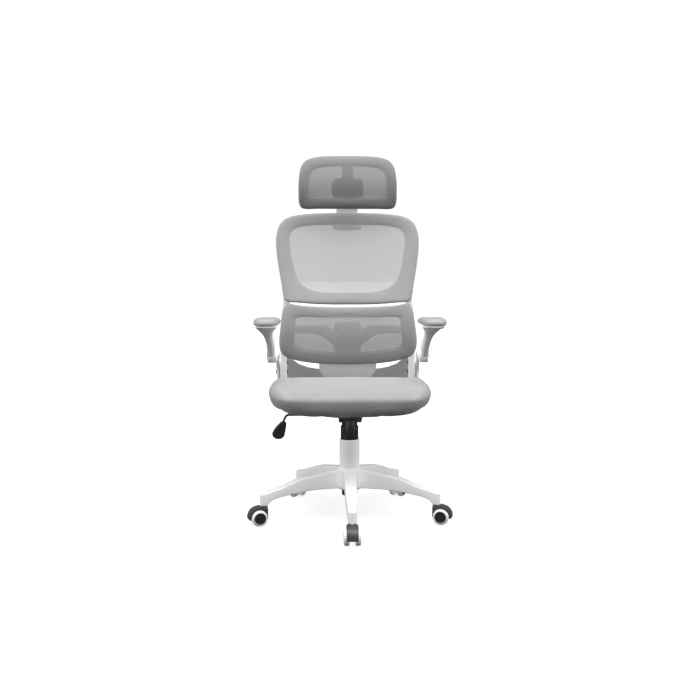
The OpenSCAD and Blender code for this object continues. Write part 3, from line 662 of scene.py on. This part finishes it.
# ---------------------------------------------------------------- white back frame
# z: inner x, outer x, front y, rear y, all in mm
POST = [
    (716, 197, 222, 210.8, 227), (700, 198.5, 223.8, 209.6, 229.2), (685, 200.5, 226, 208.4, 231.6),
    (660, 204, 229, 206.8, 235), (630, 209, 232, 206.4, 239), (600, 212.8, 234, 206.4, 243),
    (560, 215.6, 235.6, 207, 246.6), (530, 214.4, 236.4, 207.6, 248), (500, 212.4, 236.5, 208, 249),
    (470, 212, 236.5, 208, 250), (446, 212.4, 236.5, 208, 250), (417, 213, 236.2, 208.4, 249.8),
    (FRAME_FOOT_Z, 215, 235.2, 210, 248.6),
]
# Upper edge of the fairing, as (x, z) in mm, and its middle and half thickness along y
FAIRING_EDGE = [(0, 457), (98, 457), (108, 458), (139, 463), (172, 475), (186, 486), (214, 500)]
FAIRING_Y, FAIRING_HALF = 241.15, 6.85


def build_back_frame():
    """The ring behind the upper knit and the two posts, as one moulding."""
    soup = Soup()
    soup.add(*upper.carrier([
        (2.6, 8.9), (-1.6, 8.9), (-0.3, 10.2), (-0.4, 12.6), (-3.0, 14.4), (6.0, 14.6), (2.4, 13.0),
        (1.6, 10.6),
    ]))
    for side in (-1, 1):
        rings = []
        for z, x0, x1, y0, y1 in POST:
            section = rounded_box_section((x1 - x0) / 2, (y1 - y0) / 2, 5.5)
            rings.append([
                (side * (u + (x0 + x1) / 2) * MM, (v + (y0 + y1) / 2) * MM, z * MM) for u, v in section
            ])
        soup.add(*rings_to_mesh(rings))
    piece("back_frame_shell", soup.verts, soup.faces, WHITE_FRAME, "seat", "frame_plastic", ["back_frame"])


def build_lower_fairing():
    """Crossbar between the posts, dished along its upper edge, coloured dark grey as painted shade under the
    lumbar pad and behind the seat.
    """
    rings = []
    for x in np.linspace(-214, 214, 61):
        top = np.interp(abs(x), *zip(*FAIRING_EDGE))
        half = (top - FRAME_FOOT_Z) / 2
        section = rounded_box_section(FAIRING_HALF, half, 1.8)
        rings.append([
            (x * MM, (FAIRING_Y + u) * MM, (FRAME_FOOT_Z + half + v) * MM) for u, v in section
        ])
    piece("lower_fairing", *rings_to_mesh(rings), FAIRING_PAINTED_SHADE, "seat", "frame_plastic", sharp=44)


def build_bracket_lip():
    """Upper lip of the plate that joins the back to the seat, in the mid grey that paints its shade."""
    piece("bracket_lip", *plate([
        (-100, 466.2, 1), (100, 466.2, 1), (100, 479, 2), (-100, 479, 2),
    ], 226, 234, 1.2, 1), BRACKET_PAINTED_SHADE, "seat", "frame_plastic", sharp=18)


def build_post_gap_shades():
    """Black strips between the posts and the arm brackets: painted shade in the gaps there."""
    gap_shade = Soup()
    for side in (-1, 1):
        section = [(side * (238.0 + u) * MM, (226 + v) * MM) for u, v in rounded_box_section(1.7, 20, 0.6)]
        gap_shade.add(*rings_to_mesh([[(x, y, z * MM) for x, y in section] for z in (415, 450, 484)]))
    piece("post_gap_shade", gap_shade.verts, gap_shade.faces, BLACK, "seat", "black_plastic")


# Swept wing of the lumbar bracket: x, y, z, half height and half thickness, in mm
WING = [
    (28, 250, 551, 18, 3.6), (40, 250, 560, 21, 4.0), (62, 224, 579, 22, 4.2), (84, 197, 597, 20, 4.2),
    (106, 192.4, 599, 15, 3.9), (150, 186.0, 599.6, 13, 3.2), (188, 180.6, 600, 12, 2.7),
    (197, 179.4, 600, 9, 1.8),
]


def build_lumbar_bracket():
    """Pale bracket behind the lumbar pad: an upright blade with two swept wings."""
    bracket = Soup().add(*plate([
        (-40, 452, 3), (40, 452, 3), (46, 520, 20), (50, 560, 20), (46, 620, 14), (-46, 620, 14),
        (-50, 560, 20), (-46, 520, 20),
    ], 248.3, 254, 1.2))
    for side in (-1, 1):
        rings = []
        for i, (x, y, z, tall, thick) in enumerate(WING):
            a, b = WING[max(i - 1, 0)], WING[min(i + 1, len(WING) - 1)]
            along = Vector((side * (b[0] - a[0]), b[1] - a[1], b[2] - a[2])).normalized()
            through = along.cross(Vector((0, 0, 1))).normalized()
            up = through.cross(along)
            here = Vector((side * x, y, z))
            section = superellipse(tall, thick, 3.0)
            rings.append([tuple((here + up * u + through * v) * MM) for u, v in section])
        bracket.add(*rings_to_mesh(rings))
    piece("lumbar_bracket_shell", bracket.verts, bracket.faces, WHITE_FRAME, "seat", "frame_plastic",
          ["lumbar_bracket"], sharp=20)


build_back_frame()
build_lower_fairing()
build_bracket_lip()
build_post_gap_shades()
build_lumbar_bracket()


# ---------------------------------------------------------------- seat cushion and board
def cushion_mesh(shrink):
    """Crowned cushion with a waterfall front, side bolsters and a raised lower edge at its corners."""
    plan = along_rays(spline(CUSHION_HALF), SEAT_CENTRE, SEAT_REACH, 220)
    centre = np.array(SEAT_CENTRE)

    def level(share, upper_side):
        rows = []
        for edge_x, (x, y) in zip(plan[:, 0], centre + (plan - centre) * share * shrink):
            s = min(1.0, share)
            beside = ease((abs(edge_x) - 0.20) / 0.055)
            waist_z = 0.418 - 0.014 * ease((y + 0.05) / 0.2)
            if upper_side:
                rear = min(1.0, max(0.0, (y - 0.02) / 0.18))
                front = min(1.0, max(0.0, (-0.12 - y) / 0.14))
                top = 0.4425 - 0.017 * rear * rear - 0.003 * front * front
                top += 0.0025 * math.exp(-((abs(x) - 0.228) / 0.022) ** 2)
                top -= 0.0030 * math.exp(-((abs(x) - 0.193) / 0.014) ** 2)
                z = waist_z + (top - waist_z) * (1 - s ** (9.0 + 17 * beside)) ** (1 / 2.1)
            else:
                corner = 0.33 * x * x * ease((-0.06 - y) / 0.14)
                recess = 0.0075 * (1 - ease((s - 0.84) / 0.07))
                low = 0.3665 + recess + corner * ease((s - 0.84) / 0.16)
                drop = (1 - s ** 22.0) ** (1 / 2.0)
                z = waist_z - (waist_z - low) * drop
                x, y = centre + (np.array([x, y]) - centre) * (1 - 0.028 * drop * ease((s - 0.6) / 0.3))
            rows.append((x, y, z))
        return rows

    shares = [0.02, 0.2, 0.38, 0.54, 0.66, 0.75, 0.82, 0.87, 0.91, 0.94, 0.962, 0.978, 0.99, 0.9975]
    rings = [level(s, True) for s in shares] + [level(1.0, True)]
    rings += [level(s, False) for s in reversed(shares)]
    return rings_to_mesh(rings)


def build_cushion():
    """The foam and its cover: swelled by cloth pressure, slightly uneven, and kept within the CAD cushion."""
    cushion = piece("seat_cushion_cover", *cushion_mesh(1.004), SEAT_CLOTH, "seat", "seat_fabric",
                    ["seat_cushion"], sharp=180)
    co = inflate(cushion, voxel=0.0055, pressure=4.0, cap=0.006)
    side = np.clip((np.abs(co[:, 0]) - 0.15) / 0.1, 0, 1)
    ripple = np.sin(co[:, 0] * 61 + 2.1 * np.sin(co[:, 1] * 23)) * np.sin(co[:, 1] * 47 + 1.7)
    co[:, 2] += 0.0006 * ripple * (0.3 + side) * (co[:, 2] > 0.40)
    co[:, 2] = np.clip(co[:, 2], 0.3655, 0.4465)
    co[:, 0] = np.clip(co[:, 0], -0.2680, 0.2680)
    set_points(cushion, co)
    all_smooth(cushion)
    subdivided(cushion)


# How far the board stays in from the cushion's edge, in mm
BOARD_INSET = 46


def build_board():
    """The moulded board, which sits in the recess of the cushion's underside."""
    plan = along_rays(spline(CUSHION_HALF), SEAT_CENTRE, SEAT_REACH, 160)
    rings = []
    for inset, z in ((5, 372.2), (1.5, 372.4), (0, 374), (0, 382), (1.5, 383.6), (5, 384)):
        shrunk = inset_loop(plan, (BOARD_INSET + inset) * MM)
        rings.append([(x, y, z * MM) for x, y in shrunk])
    piece("seat_board_shell", *rings_to_mesh(rings), PLY, "seat", "plywood", ["seat_board"], sharp=20)


build_cushion()
build_board()


# ---------------------------------------------------------------- base, column and casters
# distance from the column, half width, top and bottom, in mm
LEG = [
    (24, 20.5, 160.6, 99), (60, 19.8, 156.2, 99.4), (100, 19.0, 150.2, 100.0), (140, 18.2, 143.4, 99.2),
    (171, 17.8, 138.0, 96.0), (200, 17.4, 127.6, 92.4), (224, 16.3, 118.2, 88.4), (240, 15.6, 113.2, 85.0),
    (256, 14.6, 109.0, 80.4), (266, 14.0, 106.6, 76.0), (272, 13.6, 105.0, 71.0), (276, 13.4, 103.8, 64.4),
    (279, 13.2, 102.8, 61.0), (288.6, 12.9, 99.6, 61.0),
]


def build_base():
    """Five tapered legs whose ends are rounded in plan, and the hub that takes the column."""
    base = Soup()
    profile = list(LEG)
    end_r, end_half, end_top, end_low = LEG[-1]
    for k in range(1, 7):
        a = math.radians(90 * k / 7)
        profile.append((end_r + end_half * math.sin(a), end_half * math.cos(a),
                        end_top - 3.2 * (1 - math.cos(a)), end_low))
    profile.append((301.4, 1.2, 96.2, 61.2))
    leg_rings = []
    for r, half, top, low in profile:
        section = rounded_box_section(half, (top - low) / 2, min(3.2, 0.8 * half), 5)
        leg_rings.append([(u * MM, -r * MM, (v + (top + low) / 2) * MM) for u, v in section])
    leg_mesh = rings_to_mesh(leg_rings)
    for k in range(LEGS):
        base.add(*leg_mesh, Matrix.Rotation(TAU * k / LEGS, 4, "Z"))
    base.add(*lathe(in_metres([
        (25.1, 160.2), (25.8, 161.0), (38.6, 161.0), (40.6, 160.3), (41.7, 158.4), (42.0, 155.5),
        (42.0, 101.0), (41.2, 97.4), (38.0, 94.2), (32.0, 92.0), (26.0, 91.0), (25.1, 91.8),
    ]), closed=True))
    piece("base_star_shell", base.verts, base.faces, WHITE_BASE, "base", "base_plastic", ["base_star"],
          sharp=34)


def build_column():
    """The three telescopic sleeves of the gas lift."""
    piece("column_cover_lower", *lathe(in_metres([
        (25.2, 161.3), (33.4, 161.3), (33.8, 162.0), (33.8, 164.4), (33.1, 165.2), (33.0, 180),
        (33.0, 220), (33.0, 254.6), (32.7, 256.2), (31.8, 257.0), (30.2, 257.0), (29.7, 256.2),
        (29.7, 254.4), (30.9, 254.0), (30.9, 163.4), (25.2, 163.2),
    ]), closed=True), WHITE_BASE, "base", "base_plastic", ["cover_lower"])
    piece("column_cover_middle", *lathe(in_metres([
        (27.3, 172.3), (30.3, 172.3), (30.6, 173), (30.6, 175.4), (29.2, 176.2), (29.0, 178),
        (29.0, 250), (29.0, 297.4), (28.6, 299.2), (27.6, 300.0), (26.4, 300.0), (26.0, 299.4),
        (26.0, 297.4), (27.2, 296.8),
    ]), closed=True), BLACK_SATIN, "cover_middle", "black_plastic", ["cover_middle"])
    piece("column_cover_upper", *lathe(in_metres([
        (23.7, 252.3), (25.2, 252.3), (25.4, 252.9), (25.4, 300), (25.4, 311.6), (25.9, 312.4),
        (25.9, 316.2), (25.3, 316.9), (24.0, 316.9), (23.7, 316.2),
    ]), closed=True), BLACK_SATIN, "lift", "black_plastic", ["cover_upper"])


# Wheels: a white tyre with a moulded tread step, and a black dished cap with a rim
WHEEL_IN, AXLE_R = 8.7, 3.05
TYRE_PROFILE = [
    (AXLE_R, WHEEL_IN), (20.5, WHEEL_IN), (21.2, WHEEL_IN + 0.5), (23.2, WHEEL_IN + 0.5),
    (24.6, WHEEL_IN + 1.3), (25.0, WHEEL_IN + 2.6), (25.0, 17.4), (24.9, 19.4), (24.3, 21.8),
    (23.2, 23.8), (21.6, 25.3), (20.0, 25.9), (19.3, 25.8), (19.0, 25.2), (19.0, 23.6), (AXLE_R, 23.6),
]
CAP_PROFILE = [
    (AXLE_R + 0.3, 23.7), (18.8, 23.7), (18.8, 25.3), (18.4, 25.8), (17.6, 25.9), (16.9, 25.5),
    (16.2, 24.9), (14.0, 24.7), (8.0, 25.1), (0.0, 25.3),
]


def build_wheels():
    """Two wheels for each caster, on an axle behind the caster's stem."""
    tyre_mesh = lathe(in_metres(TYRE_PROFILE), 72, closed=True)
    cap_mesh = lathe(in_metres(CAP_PROFILE), 72)
    for k in range(LEGS):
        turn = Matrix.Rotation(TAU * k / LEGS, 4, "Z")
        at_axle = Matrix.Translation((0, -STEM_AT - CASTER_TRAIL, WHEEL_R))
        for side, word in ((-1, "left"), (1, "right")):
            place = turn @ at_axle @ Matrix.Rotation(side * math.pi / 2, 4, "Y")
            body = f"wheel_{word}_{k + 1}"
            tyre = Soup().add(*tyre_mesh, place)
            cap = Soup().add(*cap_mesh, place)
            piece(f"tyre_{word}_{k + 1}", tyre.verts, tyre.faces, TYRE, body, "wheel_tyre",
                  [f"caster_wheel_{word}_{k + 1}"])
            piece(f"wheel_cap_{word}_{k + 1}", cap.verts, cap.faces, CAP_BLACK, body, "black_plastic",
                  sharp=50)


build_base()
build_column()
build_wheels()


# ---------------------------------------------------------------- lever and tension spring
# Height of the lever's bar, its bend with the radius, and the end inside the grip
LEVER_Z, BEND_R = 0.336, 0.014
BEND, END = Vector((-0.205, 0, LEVER_Z)), Vector((-0.216, 0, 0.312))
# Outline of the grip, as (x, z) in mm
PADDLE = [
    (-225.5, 311.5), (-220.5, 315.2), (-210.0, 315.5), (-205.0, 311.0), (-205, 300), (-208, 284),
    (-210.5, 270), (-216, 260.0), (-229, 255.6), (-243, 258.0), (-251, 266.5), (-251.5, 278),
    (-245.5, 289.5), (-236, 301),
]


def build_lever_bar():
    """Straight bar from the slider, one bend, and a short end inside the grip."""
    down = (END - BEND).normalized()
    turn_by = math.acos(max(-1, min(1, down.dot(Vector((-1, 0, 0))))))
    reach = BEND_R * math.tan(turn_by / 2)
    elbow = BEND + Vector((reach, 0, -BEND_R))
    start_x, step = 0.0138, 0.0146
    path = [Vector((start_x - step * k, 0, LEVER_Z)) for k in range(14)]
    for k in range(13):
        a = math.pi / 2 + turn_by * k / 12
        path.append(elbow + BEND_R * Vector((math.cos(a), 0, math.sin(a))))
    path += [path[-1] + down * d for d in (0.006, 0.012, 0.020, 0.028)]
    piece("lever_bar", *tube(path, 0.004), COAT, "lever", "black_steel", ["lever_rod"], sharp=60)


def build_spring():
    """Cone washers above the tension knob, which close up as the seat leans back."""
    washers = [(9.2, 316.1), (18, 316.1)]
    for k in range(4):
        z = 316 + 5.25 * k
        washers += [(18, z + 1.5), (13.2, z + 2.3), (13.2, z + 3.0), (18, z + 3.8)]
    washers += [(18, 336.9), (9.2, 336.9)]
    stack = Soup().add(*lathe(in_metres(washers), 72, closed=True), Matrix.Translation((*KNOB_AT, 0)))
    spring = piece("tension_spring_washers", stack.verts, stack.faces, SPRING, "lift", "spring_steel",
                   ["tension_spring"], sharp=25)
    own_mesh(spring)


def build_lever_grip():
    """Flat paddle with a round edge, which hangs from the end of the bar."""
    loop = np.array(rounded_profile(PADDLE, 14, 5))
    rings = []
    edge = [(7.5, -6.0), (4.4, -5.85), (2.2, -5.1), (0.7, -3.6), (0, -1.4)]
    for inset, y in edge + [(inset, -y) for inset, y in reversed(edge)]:
        rings.append([(x * MM, y * MM, z * MM) for x, z in inset_loop(loop, inset)])
    piece("lever_grip", *rings_to_mesh(rings), BLACK, "lever", "black_plastic", ["lever_paddle"], sharp=60)


build_lever_bar()
build_spring()
build_lever_grip()


# ---------------------------------------------------------------- arms
# y, z, half thickness, x centre, half width along the arm, in mm
ARM = [
    (192, 508, 23.5, 263.0, 14.5), (178, 522, 23.0, 262.6, 14.5), (160, 536, 20.5, 262.2, 14.2),
    (140, 551, 17.5, 262.4, 13.6), (120, 566, 15.4, 263.8, 13.4), (102, 580, 14.0, 266.0, 14.0),
    (86, 592, 13.0, 268.0, 15.8), (70, 601.5, 12.0, 269.6, 19.2), (52, 609.5, 11.0, 270.6, 24.4),
    (30, 615.5, 10.0, 269.6, 28.6), (5, 619.6, 9.2, 267.4, 31.4), (-25, 622.4, 8.4, 265.4, 33.0),
    (-60, 624.8, 7.2, 263.8, 33.6), (-90, 626.6, 5.8, 262.9, 32.8), (-108, 628.0, 4.4, 262.5, 30.0),
    (-115, 629.0, 2.8, 262.5, 24.0),
]
# Loops of the pad from its flat underside to its crown: share of the plan, and height in mm
PAD = [
    (0.10, 632.6), (0.70, 632.6), (0.90, 632.8), (0.945, 633.6), (0.972, 635.2), (0.990, 637.6),
    (1.0, 640.4), (0.996, 643.4), (0.978, 646.4), (0.945, 649.6), (0.89, 652.6), (0.80, 655.3),
    (0.68, 657.2), (0.52, 658.4), (0.30, 658.9), (0.08, 659.0),
]


def build_arm(side, word):
    """The lever of the arm, from its round pivot to the plate under the pad."""
    body = "arm_" + word
    arm = Soup()
    rings = []
    for i, (y, z, half_t, xc, half_w) in enumerate(ARM):
        a, b = ARM[max(i - 1, 0)], ARM[min(i + 1, len(ARM) - 1)]
        along = Vector((0, b[0] - a[0], b[1] - a[1])).normalized()
        n = Vector((0, along.z, -along.y))
        if n.z < 0:
            n = -n
        rings.append([
            (side * (xc + u) * MM, (y + n.y * v) * MM, (z + n.z * v) * MM)
            for u, v in superellipse(half_w, half_t, 3.0)
        ])
    arm.add(*rings_to_mesh(rings))
    pivot_x, pivot_y, pivot_z = ARM_PIVOT
    place = (Matrix.Translation((side * pivot_x, pivot_y, pivot_z))
             @ Matrix.Rotation(-side * ARM_SPLAY, 4, "Z") @ Matrix.Rotation(side * math.pi / 2, 4, "Y"))
    arm.add(*lathe(in_metres([
        (8.2, 4.8), (22.6, 4.8), (24.2, 5.3), (25.0, 6.8), (25.0, 30.0), (24.4, 32.4), (22.8, 34.0),
        (20.5, 34.6), (17.2, 34.7), (16.6, 34.2), (16.2, 33.2), (8.2, 33.0),
    ]), 80, closed=True), place)
    piece(f"arm_shell_{word}", arm.verts, arm.faces, WHITE_FRAME, body, "frame_plastic", ["arm_" + word],
          sharp=44)
    hub = Soup().add(*lathe(in_metres([
        (0.0, 26.0), (15.6, 26.0), (15.9, 32.6), (15.2, 33.7), (13.6, 34.2), (4.6, 34.5), (3.9, 34.1),
        (3.4, 33.0), (0.0, 32.8),
    ]), 64), place)
    piece(f"pivot_cap_{word}", hub.verts, hub.faces, WHITE_FRAME, body, "frame_plastic", sharp=44)


def build_arm_pad(side, word):
    """Soft pad with a rounded rim that falls slightly to the rear."""
    body = "arm_" + word
    mid_y, half_len, half_w, xc = -20.5, 120.5, 41.0, 262.5
    rings = []
    for share, z in PAD:
        rim = []
        reach_y = 1 - 0.42 * (1 - share) if share > 0.7 else 1.249 * share
        height = (z - 632) / 27
        for u, v in superellipse(half_w, half_len, 3.4, 96):
            y = mid_y + v * reach_y
            ends = 2.4 * max(0.0, (abs(v) / half_len - 0.55) / 0.45) ** 2 * height
            back = max(0.0, (y + 100) / 100)
            fall = ends + (4.0 * back + 0.6 * back * back) * height
            rim.append((side * (xc + u * share) * MM, y * MM, (z - fall) * MM))
        rings.append(rim)
    o = piece(f"arm_pad_cover_{word}", *rings_to_mesh(rings), SOFT_PAD, body, "arm_pad_foam",
              ["arm_pad_" + word], sharp=180)
    subdivided(o)


for side, word in ((-1, "left"), (1, "right")):
    build_arm(side, word)
    build_arm_pad(side, word)


# ---------------------------------------------------------------- CAD nodes that keep their shape
# Material: (nodes, width of their softened edges in mm)
KEPT = {
    WHITE_FRAME: (["arm_bracket_left", "arm_bracket_right", "headrest_socket", "headrest_stem"], 1.4),
    # The back bracket takes the mid grey that paints its shade behind the seat.
    BRACKET_PAINTED_SHADE: (["back_bracket"], 1.4),
    HOOD_BLACK: ([f"caster_hood_{k + 1}" for k in range(LEGS)], 1.0),
    BLACK: (["headrest_bracket", "tilt_lock_slider", "tension_knob", "arm_pivot_left",
             "arm_pivot_right", "gas_guide_bush"], 1.0),
    COAT: (["gas_outer_tube", "tilt_housing", "seat_plate", "back_bolts"], 0.5),
    ZINC: (["thrust_bearing", "caster_stems", "gas_retaining_clip", "tilt_pivot_pin", "seat_bolts",
            "headrest_pin", "gas_release_button"], 0.3),
    POLISHED: (["gas_piston_rod", "gas_cylinder"], 0.4),
}
for material, (names, width) in KEPT.items():
    for name in names:
        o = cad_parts[name]
        o.data.materials.clear()
        o.data.materials.append(material)
        weld = o.modifiers.new("weld", "WELD")
        weld.merge_threshold = 1e-5
        bevelled(o, width * MM)
        all_smooth(o)


# ---------------------------------------------------------------- stage, light and camera
def build_stage():
    me = bpy.data.meshes.new("floor")
    half = 40.0
    corners = [(-half, -half, 0), (half, -half, 0), (half, half, 0), (-half, half, 0)]
    me.from_pydata(corners, [], [(0, 1, 2, 3)])
    floor = bpy.data.objects.new("floor", me)
    bpy.context.scene.collection.objects.link(floor)
    s = Shader("pale_floor")
    s.bsdf.inputs["Roughness"].default_value = 0.9
    s.bsdf.inputs["Specular IOR Level"].default_value = 0.0
    s.bsdf.inputs["Base Color"].default_value = (0.62, 0.62, 0.625, 1)
    s.bsdf.inputs["Emission Color"].default_value = (1.0, 1.0, 1.0, 1)
    s.bsdf.inputs["Emission Strength"].default_value = 0.45
    me.materials.append(s.mat)
    floor.visible_diffuse = False
    floor.visible_glossy = False


def build_world():
    world = bpy.data.worlds.new("studio")
    bpy.context.scene.world = world
    world.use_nodes = True
    nt = world.node_tree
    back = nt.nodes["Background"]
    coord = nt.nodes.new("ShaderNodeTexCoord")
    split = nt.nodes.new("ShaderNodeSeparateXYZ")
    nt.links.new(coord.outputs["Generated"], split.inputs[0])
    ramp = nt.nodes.new("ShaderNodeMapRange")
    nt.links.new(split.outputs[2], ramp.inputs["Value"])
    for key, v in (("From Min", -0.25), ("From Max", 0.35), ("To Min", 0.08), ("To Max", 0.16)):
        ramp.inputs[key].default_value = v
    seen = nt.nodes.new("ShaderNodeLightPath")
    pick = nt.nodes.new("ShaderNodeMix")
    nt.links.new(seen.outputs["Is Camera Ray"], pick.inputs[0])
    nt.links.new(ramp.outputs["Result"], pick.inputs[2])
    pick.inputs[3].default_value = 1.05
    nt.links.new(pick.outputs[0], back.inputs["Strength"])
    back.inputs["Color"].default_value = (1, 1, 1, 1)


def sun(name, come_from, strength, spread, shadow=True):
    data = bpy.data.lights.new(name, "SUN")
    data.energy = strength
    data.use_shadow = shadow
    data.angle = math.radians(spread)
    o = bpy.data.objects.new(name, data)
    bpy.context.scene.collection.objects.link(o)
    o.rotation_mode = "QUATERNION"
    o.rotation_quaternion = Vector(come_from).to_track_quat("Z", "Y")


build_stage()
build_world()
sun("key_from_above", (0.02, -0.28, 1.0), 2.3, 50)
sun("side_left", (-1.0, -0.38, 0.60), 2.2, 50, shadow=False)
sun("side_right", (1.0, -0.38, 0.60), 2.2, 50, shadow=False)

camera = bpy.data.objects.new("camera", bpy.data.cameras.new("camera"))
bpy.context.scene.collection.objects.link(camera)
bpy.context.scene.camera = camera
AZIMUTH, DISTANCE, HEIGHT, PITCH = math.radians(-1.6), 2.78, 0.819, math.radians(5.59)
camera.data.sensor_width = 36.0
camera.data.lens = 44.49
camera.data.shift_x = 0.0007
camera.location = (DISTANCE * math.sin(AZIMUTH), -DISTANCE * math.cos(AZIMUTH), HEIGHT)
camera.rotation_euler = (math.pi / 2 - PITCH, 0, AZIMUTH)
bpy.context.scene.view_settings.view_transform = "Standard"
